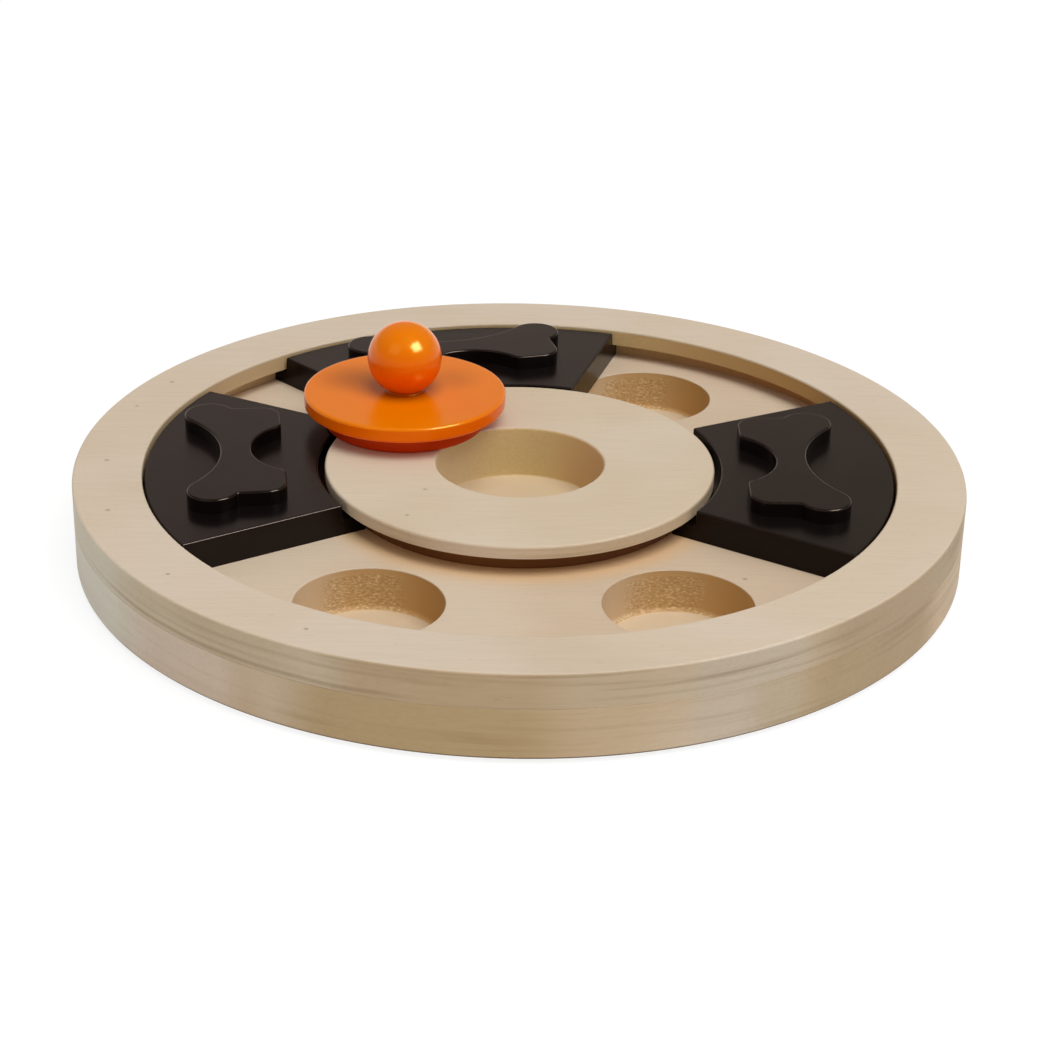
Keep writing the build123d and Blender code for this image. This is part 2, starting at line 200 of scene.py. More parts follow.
def sanded_limewood(
    name, faces, warm_faces, walls, warm_walls, streaks, patches=(), rings=(), nicks=(), warm_shade_radius=0,
):
    """Pale sanded limewood. streaks is how strongly the growth rings show on the walls, patches
    are stains, painted shade and painted reflections as (x, y, z, reach, colour, share), rings are
    single dark growth rings as (height, reach, left end, right end, share), nicks are dark specks
    at (x, y, z), and the last is the radius within which the top is painted warm brown, as painted
    shade under the plate's overhang, all in mm."""
    wood = new_material(name)
    here = add_node(wood, "ShaderNodeTexCoord").outputs["Object"]
    facing = add_node(wood, "ShaderNodeNewGeometry").outputs["Normal"]
    upward = add_node(wood, "ShaderNodeSeparateXYZ", {0: facing}).outputs["Z"]
    levelness = add_node(wood, "ShaderNodeMath", {0: upward}, operation="ABSOLUTE").outputs[0]
    on_face = add_node(wood, "ShaderNodeMapRange", {
        "Value": levelness, "From Min": 0.6, "From Max": 0.985,
    }, interpolation_type="SMOOTHSTEP").outputs[0]

    # Tone that drifts across the board, about 60 mm from patch to patch
    drift = add_node(wood, "ShaderNodeTexNoise", {
        "Vector": here, "Scale": 17, "Detail": 2, "Roughness": 0.5,
    })
    drift_share = add_node(wood, "ShaderNodeMapRange", {
        "Value": drift.outputs[0], "From Min": 0.38, "From Max": 0.62,
    }, interpolation_type="SMOOTHSTEP").outputs[0]
    face_tone = add_node(wood, "ShaderNodeMix", {
        0: drift_share, 6: linear(faces), 7: linear(warm_faces),
    }, data_type="RGBA").outputs[2]
    wall_tone = add_node(wood, "ShaderNodeMix", {
        0: drift_share, 6: linear(walls), 7: linear(warm_walls),
    }, data_type="RGBA").outputs[2]

    # Stains, painted shade and painted reflections, soft at their borders
    for x, y, z, reach, colour, share in patches:
        gap = add_node(wood, "ShaderNodeVectorMath", {
            0: here, 1: (x * MM, y * MM, z * MM),
        }, operation="DISTANCE").outputs["Value"]
        patch_share = add_node(wood, "ShaderNodeMapRange", {
            "Value": gap, "From Min": reach * MM, "From Max": 0.55 * reach * MM,
            "To Max": share,
        }, interpolation_type="SMOOTHSTEP").outputs[0]
        wall_tone = add_node(wood, "ShaderNodeMix", {
            0: patch_share, 6: wall_tone, 7: linear(colour),
        }, data_type="RGBA").outputs[2]
    # The top is painted warm brown towards the hub, as painted shade under the plate's overhang
    if warm_shade_radius:
        off_axis = add_node(wood, "ShaderNodeVectorMath", {
            0: here, 1: (1, 1, 0),
        }, operation="MULTIPLY").outputs[0]
        off_axis = add_node(wood, "ShaderNodeVectorMath", {
            0: off_axis,
        }, operation="LENGTH").outputs["Value"]
        warm_shade_share = add_node(wood, "ShaderNodeMapRange", {
            "Value": off_axis, "From Min": warm_shade_radius * MM, "From Max": (warm_shade_radius - WARM_SHADE_FADE) * MM,
            "To Max": 0.75,
        }, interpolation_type="SMOOTHSTEP").outputs[0]
        faces_up = add_node(wood, "ShaderNodeMath", {0: upward, 1: 0.5}, operation="GREATER_THAN")
        warm_shade_share = add_node(wood, "ShaderNodeMath", {
            0: warm_shade_share, 1: faces_up.outputs[0],
        }, operation="MULTIPLY").outputs[0]
        face_tone = add_node(wood, "ShaderNodeMix", {
            0: warm_shade_share, 6: face_tone, 7: linear("#E8BE8A"),
        }, data_type="RGBA").outputs[2]
    tone = add_node(wood, "ShaderNodeMix", {
        0: on_face, 6: wall_tone, 7: face_tone,
    }, data_type="RGBA").outputs[2]

    # Growth rings of a flat-sawn plank: they lie level, so a wall cuts them in long thin streaks
    # a few millimetres apart and a face shows only broad faint bands
    ring_place = add_node(wood, "ShaderNodeMapping", {
        "Vector": here, "Scale": (0.011 / MM, 0.02 / MM, 0.5 / MM), "Location": (7, 3, 0),
    }).outputs[0]
    ring_noise = add_node(wood, "ShaderNodeTexNoise", {
        "Vector": ring_place, "Scale": 1, "Detail": 2.5, "Roughness": 0.5, "Distortion": 0.25,
    }).outputs[0]
    late_wood = add_node(wood, "ShaderNodeMapRange", {
        "Value": ring_noise, "From Min": 0.48, "From Max": 0.7,
    }, interpolation_type="SMOOTHSTEP").outputs[0]
    clear_wood = add_node(wood, "ShaderNodeTexNoise", {
        "Vector": here, "Scale": 24, "Detail": 1,
    }).outputs[0]
    clear_share = add_node(wood, "ShaderNodeMapRange", {
        "Value": clear_wood, "From Min": 0.4, "From Max": 0.6, "To Min": 0.25,
    }, interpolation_type="SMOOTHSTEP").outputs[0]
    ring_depth = add_node(wood, "ShaderNodeMapRange", {
        "Value": on_face, "To Min": streaks, "To Max": 0.1,
    }).outputs[0]
    ring_share = add_node(wood, "ShaderNodeMath", {
        0: late_wood, 1: clear_share,
    }, operation="MULTIPLY").outputs[0]
    ring_share = add_node(wood, "ShaderNodeMath", {
        0: ring_share, 1: ring_depth,
    }, operation="MULTIPLY").outputs[0]
    tone = add_node(wood, "ShaderNodeMix", {
        0: ring_share, 6: tone, 7: linear("#B9A688"),
    }, data_type="RGBA", blend_type="MULTIPLY").outputs[2]

    # Single rings that run darker for part of the way, wavering by about half a millimetre
    across = add_node(wood, "ShaderNodeSeparateXYZ", {0: here}).outputs["X"]
    level = add_node(wood, "ShaderNodeSeparateXYZ", {0: here}).outputs["Z"]
    waver = add_node(wood, "ShaderNodeMapRange", {
        "Value": clear_wood, "To Min": -1.5 * MM, "To Max": 1.5 * MM,
    }).outputs[0]
    level = add_node(wood, "ShaderNodeMath", {0: level, 1: waver}, operation="ADD").outputs[0]
    for ring_height, reach, left_end, right_end, share in rings:
        off_ring = add_node(wood, "ShaderNodeMath", {
            0: level, 1: ring_height * MM,
        }, operation="SUBTRACT").outputs[0]
        off_ring = add_node(wood, "ShaderNodeMath", {0: off_ring}, operation="ABSOLUTE").outputs[0]
        on_ring = add_node(wood, "ShaderNodeMapRange", {
            "Value": off_ring, "From Min": reach * MM, "From Max": 0, "To Max": share,
        }, interpolation_type="SMOOTHSTEP").outputs[0]
        for end, inside in ((left_end, left_end + RING_FADE), (right_end, right_end - RING_FADE)):
            begun = add_node(wood, "ShaderNodeMapRange", {
                "Value": across, "From Min": end * MM, "From Max": inside * MM,
            }, interpolation_type="SMOOTHSTEP").outputs[0]
            on_ring = add_node(wood, "ShaderNodeMath", {
                0: on_ring, 1: begun,
            }, operation="MULTIPLY").outputs[0]
        tone = add_node(wood, "ShaderNodeMix", {
            0: on_ring, 6: tone, 7: linear("#907758"),
        }, data_type="RGBA").outputs[2]

    # Fibres 0.8 mm across, drawn coarser than real ones so that they show
    fibre_place = add_node(wood, "ShaderNodeMapping", {
        "Vector": here, "Scale": (0.06 / MM, 1.3 / MM, 1.3 / MM),
    }).outputs[0]
    fibres = add_node(wood, "ShaderNodeTexNoise", {
        "Vector": fibre_place, "Scale": 1, "Detail": 4, "Roughness": 0.65,
    }).outputs[0]
    fibre_share = add_node(wood, "ShaderNodeMapRange", {
        "Value": fibres, "From Min": 0.42, "From Max": 0.8, "To Max": 0.12,
    }).outputs[0]
    tone = add_node(wood, "ShaderNodeMix", {
        0: fibre_share, 6: tone, 7: linear("#B59F7E"),
    }, data_type="RGBA", blend_type="MULTIPLY").outputs[2]

    # Short dark pores along the grain, 3 mm long
    pore_place = add_node(wood, "ShaderNodeMapping", {
        "Vector": here, "Scale": (0.33 / MM, 2.4 / MM, 2.4 / MM), "Location": (3, 8, 1),
    }).outputs[0]
    pores = add_node(wood, "ShaderNodeTexNoise", {
        "Vector": pore_place, "Scale": 1, "Detail": 1,
    }).outputs[0]
    pore_share = add_node(wood, "ShaderNodeMapRange", {
        "Value": pores, "From Min": 0.7, "From Max": 0.8, "To Max": 0.22,
    }).outputs[0]
    tone = add_node(wood, "ShaderNodeMix", {
        0: pore_share, 6: tone, 7: linear("#9A8266"),
    }, data_type="RGBA", blend_type="MULTIPLY").outputs[2]

    # Nicks left by handling
    marks = 0
    for x, y, z in nicks:
        gap = add_node(wood, "ShaderNodeVectorMath", {
            0: here, 1: (x * MM, y * MM, z * MM),
        }, operation="DISTANCE").outputs["Value"]
        ragged = add_node(wood, "ShaderNodeMapRange", {
            "Value": fibres, "From Min": 0.3, "From Max": 0.7,
            "To Min": -0.3 * MM, "To Max": 0.3 * MM,
        }).outputs[0]
        gap = add_node(wood, "ShaderNodeMath", {0: gap, 1: ragged}, operation="ADD").outputs[0]
        mark = add_node(wood, "ShaderNodeMapRange", {
            "Value": gap, "From Min": 0.2 * MM, "From Max": 0.85 * MM, "To Min": 1, "To Max": 0,
        }, interpolation_type="SMOOTHSTEP").outputs[0]
        marks = add_node(wood, "ShaderNodeMath", {
            0: marks, 1: mark,
        }, operation="MAXIMUM").outputs[0]
    if nicks:
        mark_share = add_node(wood, "ShaderNodeMath", {0: marks, 1: 0.48}, operation="MULTIPLY")
        tone = add_node(wood, "ShaderNodeMix", {
            0: mark_share.outputs[0], 6: tone, 7: linear("#7A6650"),
        }, data_type="RGBA").outputs[2]

    # The lower arris near the floor is painted dark, as painted contact shade under the board
    leans_down = add_node(wood, "ShaderNodeMapRange", {
        "Value": upward, "From Min": -0.15, "From Max": -0.5,
    }, interpolation_type="SMOOTHSTEP").outputs[0]
    not_flat = add_node(wood, "ShaderNodeMapRange", {
        "Value": upward, "From Min": -0.995, "From Max": -0.94,
    }).outputs[0]
    near_floor = add_node(wood, "ShaderNodeMath", {
        0: level, 1: 5 * MM,
    }, operation="LESS_THAN").outputs[0]
    contact_shade = add_node(wood, "ShaderNodeMath", {
        0: leans_down, 1: not_flat,
    }, operation="MULTIPLY").outputs[0]
    contact_shade = add_node(wood, "ShaderNodeMath", {
        0: contact_shade, 1: near_floor,
    }, operation="MULTIPLY").outputs[0]
    tone = add_node(wood, "ShaderNodeMix", {
        0: contact_shade, 6: tone, 7: linear("#6B563C"),
    }, data_type="RGBA").outputs[2]

    # The fibres and pores stand a few hundredths of a millimetre deep
    relief = add_node(wood, "ShaderNodeMath", {
        0: fibre_share, 1: pore_share,
    }, operation="ADD").outputs[0]
    relief = add_node(wood, "ShaderNodeMath", {0: relief, 1: marks}, operation="ADD").outputs[0]
    rough_face = add_node(wood, "ShaderNodeBump", {
        "Height": relief, "Strength": 0.5, "Distance": 0.06 * MM,
    }, invert=True).outputs[0]
    sheen_of_sanding = add_node(wood, "ShaderNodeMapRange", {
        "Value": fibres, "From Min": 0.3, "From Max": 0.7, "To Min": 0.5, "To Max": 0.66,
    }).outputs[0]
    surface = add_node(wood, "ShaderNodeBsdfPrincipled", {
        "Base Color": tone, "Roughness": sheen_of_sanding, "IOR": 1.45,
        "Specular IOR Level": 0.3, "Normal": rough_face,
    }).outputs[0]
    add_node(wood, "ShaderNodeOutputMaterial", {"Surface": surface})
    return wood


def routed_limewood(name, floor, walls, lit_right_facing, shaded_left_facing, mouth, tearing=1):
    """Limewood as the router leaves it. The wall that faces right is painted pale and the one that
    faces left brown, as painted light and shade from the right, and between them the fibres are
    torn out in short flecks that fade away within 2 mm of the mouth. mouth is its height in mm,
    and tearing is how strongly the flecks show."""
    wood = new_material(name)
    here = add_node(wood, "ShaderNodeTexCoord").outputs["Object"]
    facing = add_node(wood, "ShaderNodeNewGeometry").outputs["Normal"]
    normal = add_node(wood, "ShaderNodeSeparateXYZ", {0: facing})
    faces_right = add_node(wood, "ShaderNodeMapRange", {
        "Value": normal.outputs["X"], "From Min": 0.2, "From Max": 0.9,
    }, interpolation_type="SMOOTHSTEP").outputs[0]
    faces_left = add_node(wood, "ShaderNodeMapRange", {
        "Value": normal.outputs["X"], "From Min": -0.25, "From Max": -0.9,
    }, interpolation_type="SMOOTHSTEP").outputs[0]
    floor_share = add_node(wood, "ShaderNodeMapRange", {
        "Value": normal.outputs["Z"], "From Min": 0.8, "From Max": 0.995,
    }, interpolation_type="SMOOTHSTEP").outputs[0]
    # Right-facing walls are painted paler and left-facing walls browner, as painted light and shade
    tone = add_node(wood, "ShaderNodeMix", {
        0: faces_right, 6: linear(walls), 7: linear(lit_right_facing),
    }, data_type="RGBA").outputs[2]
    tone = add_node(wood, "ShaderNodeMix", {
        0: faces_left, 6: tone, 7: linear(shaded_left_facing),
    }, data_type="RGBA").outputs[2]

    # Torn fibres, dashes 1 mm long and 0.4 mm high
    across = add_node(wood, "ShaderNodeMath", {
        0: normal.outputs["X"], 1: 0.12,
    }, operation="SUBTRACT").outputs[0]
    across = add_node(wood, "ShaderNodeMath", {0: across}, operation="ABSOLUTE").outputs[0]
    torn_side = add_node(wood, "ShaderNodeMapRange", {
        "Value": across, "From Min": 0.62, "From Max": 0.4,
    }, interpolation_type="SMOOTHSTEP").outputs[0]
    height = add_node(wood, "ShaderNodeSeparateXYZ", {0: here}).outputs["Z"]
    below_mouth = add_node(wood, "ShaderNodeMapRange", {
        "Value": height, "From Min": (mouth - TEAR_START) * MM,
        "From Max": (mouth - TEAR_FULL) * MM, "To Max": tearing,
    }, interpolation_type="SMOOTHSTEP").outputs[0]
    torn = add_node(wood, "ShaderNodeMath", {
        0: torn_side, 1: below_mouth,
    }, operation="MULTIPLY").outputs[0]
    fleck_place = add_node(wood, "ShaderNodeMapping", {
        "Vector": here, "Scale": (1.0 / MM, 1.2 / MM, 2.4 / MM),
    }).outputs[0]
    flecks = add_node(wood, "ShaderNodeTexNoise", {
        "Vector": fleck_place, "Scale": 1, "Detail": 3, "Roughness": 0.6,
    }).outputs[0]
    dark_flecks = add_node(wood, "ShaderNodeMapRange", {
        "Value": flecks, "From Min": 0.5, "From Max": 0.38, "To Max": 0.7,
    }).outputs[0]
    light_flecks = add_node(wood, "ShaderNodeMapRange", {
        "Value": flecks, "From Min": 0.54, "From Max": 0.68, "To Max": 0.8,
    }).outputs[0]
    dark_share = add_node(wood, "ShaderNodeMath", {0: dark_flecks, 1: torn}, operation="MULTIPLY")
    light_share = add_node(wood, "ShaderNodeMath", {0: light_flecks, 1: torn}, operation="MULTIPLY")
    tone = add_node(wood, "ShaderNodeMix", {
        0: dark_share.outputs[0], 6: tone, 7: linear("#AE8A58"),
    }, data_type="RGBA").outputs[2]
    tone = add_node(wood, "ShaderNodeMix", {
        0: light_share.outputs[0], 6: tone, 7: linear("#EBD6A2"),
    }, data_type="RGBA").outputs[2]
    tone = add_node(wood, "ShaderNodeMix", {
        0: floor_share, 6: tone, 7: linear(floor),
    }, data_type="RGBA").outputs[2]
    lifted = add_node(wood, "ShaderNodeMath", {0: flecks, 1: torn}, operation="MULTIPLY").outputs[0]
    rough_face = add_node(wood, "ShaderNodeBump", {
        "Height": lifted, "Strength": 0.7, "Distance": 0.2 * MM,
    }).outputs[0]
    surface = add_node(wood, "ShaderNodeBsdfPrincipled", {
        "Base Color": tone, "Roughness": 0.7, "IOR": 1.45,
        "Specular IOR Level": 0.25, "Normal": rough_face,
    }).outputs[0]
    add_node(wood, "ShaderNodeOutputMaterial", {"Surface": surface})
    return wood


def places_round(count, pitch_radius, first_angle):
    """Points spread evenly round the board's axis, in mm."""
    angles = [radians(first_angle + 360 / count * index) for index in range(count)]
    return [Matrix.Rotation(angle, 2) @ Vector((pitch_radius, 0)) for angle in angles]


board = bmesh.new()
turned(board, [
    (BOARD_RADIUS - FACE_RING, BASE_TOP), (BOARD_RADIUS, BASE_TOP, SEAM_EASE),
    (BOARD_RADIUS, BASE_BOTTOM, BOARD_EDGE_ROUND), (BOARD_RADIUS - UNDERSIDE_RING, BASE_BOTTOM),
], steps=256)
pocket_floor = BASE_TOP - POCKET_DEPTH
for place in places_round(6, TRACK_MIDDLE_RADIUS, 0):
    turned(board, [
        (POCKET_RADIUS + FACE_RING, BASE_TOP), (POCKET_RADIUS, BASE_TOP, POCKET_MOUTH_EASE),
        (POCKET_RADIUS, pocket_floor, POCKET_CORNER_ROUND), (0, pocket_floor),
    ], centre=place, steps=96, finish=1)
well_floor = BASE_TOP - WELL_DEPTH_IN_BASE
turned(board, [
    (WELL_RADIUS, BASE_TOP), (WELL_RADIUS, well_floor, WELL_FLOOR_ROUND), (0, well_floor),
], steps=128, finish=2)
screw_seat = BASE_BOTTOM + CENTRE_SCREW_SINK
hole_end = BASE_TOP - SCREW_HOLE_END_BELOW_TOP
for place in places_round(3, CENTRE_SCREW_PITCH_RADIUS, 90):
    turned(board, [
        (SCREW_HEAD_RADIUS, BASE_BOTTOM), (SCREW_HEAD_RADIUS, screw_seat),
        (SCREW_HOLE_RADIUS, screw_seat + COUNTERSINK_HEIGHT), (SCREW_HOLE_RADIUS, hole_end),
        (0, hole_end),
    ], centre=place, steps=32)
fill_level(board, BASE_TOP)
fill_level(board, BASE_BOTTOM)
for face in board.faces:
    if face.calc_center_median().z > BASE_TOP - POCKET_MOUTH_EASE:
        face.material_index = 0
routed_well = routed_limewood(
    "routed_limewood_well", "#D6C29F", "#D1B882", "#D8C29A", "#D2B080",
    levels("centre_plate")[1] + TEAR_TO_THE_EDGE, 0.2,
)
dress(board, "base_board", [
    sanded_limewood(
        "sanded_limewood_base", "#DCC8AF", "#D5BEA2", "#D0BB9F", "#C8AE8C", 0.3,
        # The dark patches on the right are painted shade, and the pale grey one at the left end is
        # a painted reflection
        patches=[
            (-26, -120, 5, 42, "#B89C71", 0.9), (54, -110, 9, 20, "#C9BAA8", 0.7),
            (-88, -86, 8, 28, "#DAC5B1", 0.8), (-124, -30, 10, 62, "#DFD9C8", 0.9),
            (90, -84, 8, 34, "#AC9473", 0.8), (71, -100, 8, 24, "#B39D74", 0.4),
        ],
        rings=[(9.5, 0.9, -20, 60, 0.14), (6.5, 0.7, 10, 80, 0.1)],
        nicks=[(57.8, -53.7, 14.8), (-28.0, -88.0, 14.8)],
        warm_shade_radius=WARM_SHADE_RADIUS,
    ),
    routed_limewood("routed_limewood_base", "#D8C2A2", "#C7A06A", "#D6BB98", "#C4985C", BASE_TOP),
    routed_well,
])


# Rubber feet
# Four thin round pads of grey rubber, punched from sheet and glued under the board. They are
# matt, with a fine pitted grit.

FOOT_RADIUS = 7.0
FOOT_EDGE_ROUND = 0.3
FOOT_PITCH_RADIUS = 108.0

feet = bmesh.new()
for place in places_round(4, FOOT_PITCH_RADIUS, 30):
    turned(feet, [
        (0, 0), (FOOT_RADIUS, 0, FOOT_EDGE_ROUND), (FOOT_RADIUS, BASE_BOTTOM), (0, BASE_BOTTOM),
    ], centre=place, steps=48)
rubber = new_material("punched_rubber_sheet")
on_rubber = add_node(rubber, "ShaderNodeTexCoord").outputs["Object"]
grit = add_node(rubber, "ShaderNodeTexNoise", {
    "Vector": on_rubber, "Scale": 2500, "Detail": 2,
}).outputs[0]
dusty = add_node(rubber, "ShaderNodeMix", {
    0: grit, 6: linear("#827F7A"), 7: linear("#96938D"),
}, data_type="RGBA").outputs[2]
pitted = add_node(rubber, "ShaderNodeBump", {
    "Height": grit, "Strength": 0.5, "Distance": 0.04 * MM,
}).outputs[0]
matt = add_node(rubber, "ShaderNodeBsdfPrincipled", {
    "Base Color": dusty, "Roughness": 0.85, "IOR": 1.52, "Normal": pitted,
}).outputs[0]
add_node(rubber, "ShaderNodeOutputMaterial", {"Surface": matt})
dress(feet, "rubber_feet", [rubber])


# Rim ring
# The ring on top of the board, turned from a second plank of the same wood and glued down. Its
# inner edge overhangs a groove that holds the sliders' outer flanges.

RIM_INNER_RADIUS = 103.7
RIM_GROOVE_RADIUS = 108.7
RIM_GROOVE_HEIGHT = 4.6
RIM_GROOVE_TOP = BASE_TOP + RIM_GROOVE_HEIGHT
RIM_OUTER_ROUND = 0.7
RIM_INNER_ROUND = 0.6
RIM_TOP = levels("rim_ring")[1]

rim = bmesh.new()
turned(rim, [
    (RIM_GROOVE_RADIUS, BASE_TOP), (BOARD_RADIUS, BASE_TOP, SEAM_EASE),
    (BOARD_RADIUS, RIM_TOP, RIM_OUTER_ROUND), (RIM_INNER_RADIUS, RIM_TOP, RIM_INNER_ROUND),
    (RIM_INNER_RADIUS, RIM_GROOVE_TOP), (RIM_GROOVE_RADIUS, RIM_GROOVE_TOP),
], steps=256, closed=True)
for face in rim.faces:
    middle = face.calc_center_median()
    off_axis = middle.to_2d().length
    if off_axis < RIM_GROOVE_RADIUS + WALL_TOLERANCE and middle.z < RIM_TOP - RIM_INNER_ROUND:
        face.material_index = 1 if off_axis < RIM_INNER_RADIUS + WALL_TOLERANCE else 2
dress(rim, "rim_ring", [
    sanded_limewood(
        "sanded_limewood_rim", "#DAC9B4", "#D8C5AD", "#CEBC9F", "#C4AE8F", 0.4,
        # The dark patch on the right is painted shade, and the pale grey one at the left end is a
        # painted reflection
        patches=[
            (-20, -121, 20, 34, "#BA9D7A", 0.8), (-124, -30, 20, 58, "#DBD1BC", 0.8),
            (100, -70, 20, 50, "#AC9374", 0.7), (54, -110, 18, 20, "#C6B8A6", 0.6),
        ],
        rings=[
            (16.0, 1.0, -118, -20, 0.5), (18.2, 0.8, -112, -48, 0.22), (20.8, 0.9, -100, -10, 0.2),
            (17.6, 0.8, 5, 75, 0.2), (20.2, 0.9, 25, 100, 0.26), (22.3, 0.8, -60, 30, 0.14),
        ],
        nicks=[
            (-113.7, -2.5, 24.3), (-109.3, -34.5, 24.3), (-110.0, 35.6, 24.3),
            (-101.8, 53.9, 24.3), (-89.5, -71.7, 24.3), (-53.2, -100.5, 24.3),
        ],
    ),
    routed_limewood(
        "routed_limewood_rim", "#D6B888", "#CBAC78", "#CDB086", "#B58C56",
        RIM_TOP + TEAR_TO_THE_EDGE, 0.3,
    ),
    # The groove under the lip is painted paler than the wall above it, as painted light in the
    # lip's shade
    routed_limewood(
        "routed_limewood_groove", "#D6B888", "#CBA878", "#EAD2A6", "#B6824E",
        RIM_TOP + TEAR_TO_THE_EDGE, 0.3,
    ),
])


# Hub disc and centre plate
# The hub is a disc glued and screwed to the middle of the board. The wider plate on top of it
# overhangs the track and holds the sliders' inner flanges. The well is bored through both.

HUB_RADIUS = 48.5
PLATE_RADIUS = 53.9
PLATE_EDGE_ROUND = 0.8
WELL_MOUTH_ROUND = 0.8
HUB_TOP, PLATE_TOP = levels("centre_plate")

hub = bmesh.new()
turned(hub, [
    (WELL_RADIUS, BASE_TOP), (HUB_RADIUS, BASE_TOP), (HUB_RADIUS, HUB_TOP), (WELL_RADIUS, HUB_TOP),
], closed=True)
for face in hub.faces:
    if face.calc_center_median().to_2d().length < WELL_RADIUS + WALL_TOLERANCE:
        face.material_index = 1
dress(hub, "hub_disc", [
    # The hub's wall is painted dark brown, as painted shade under the plate's overhang
    sanded_limewood("sanded_limewood_hub", "#CDB591", "#C8AE88", "#774A1F", "#6C401A", 0.3),
    routed_well,
])

plate = bmesh.new()
turned(plate, [
    (WELL_RADIUS, HUB_TOP), (PLATE_RADIUS, HUB_TOP), (PLATE_RADIUS, PLATE_TOP, PLATE_EDGE_ROUND),
    (WELL_RADIUS, PLATE_TOP, WELL_MOUTH_ROUND),
], closed=True)
for face in plate.faces:
    if face.calc_center_median().to_2d().length < WELL_RADIUS + WALL_TOLERANCE:
        face.material_index = 1
dress(plate, "centre_plate", [
    sanded_limewood(
        "sanded_limewood_plate", "#DAC9B1", "#D6C3A8", "#D8C3AA", "#CFB899", 0.35,
        nicks=[(-30.4, -35.3, 23.8), (-25.9, -18.9, 23.8)],
    ),
    routed_well,
])


# Sliders
# Ring sectors of plywood that run round the track, held down by a flange along each curved edge.
# They are sprayed with dark brown lacquer that levels out to a smooth satin gloss.

SLIDER_ANGLE = 60.0
SLIDER_ANGLES = {"right": -3.75, "back": 102.6, "left": 181.3}
FLANGE_THICKNESS = 4.0
FLANGE_TOP = BASE_TOP + FLANGE_THICKNESS
FLANGE_INNER_RADIUS = 49.0
FLANGE_OUTER_RADIUS = 108.3
SLIDER_INNER_RADIUS = 55.8
SLIDER_OUTER_RADIUS = 103.0
SLIDER_CORNER_ROUND = 0.6
SLIDER_TOP_ROUND = 0.5
SLIDER_TOP = levels("slider_right_body")[1]
STEEP_CORNER = radians(50)
UPRIGHT_RISE = 1.0
LEVEL_TOLERANCE = 0.01


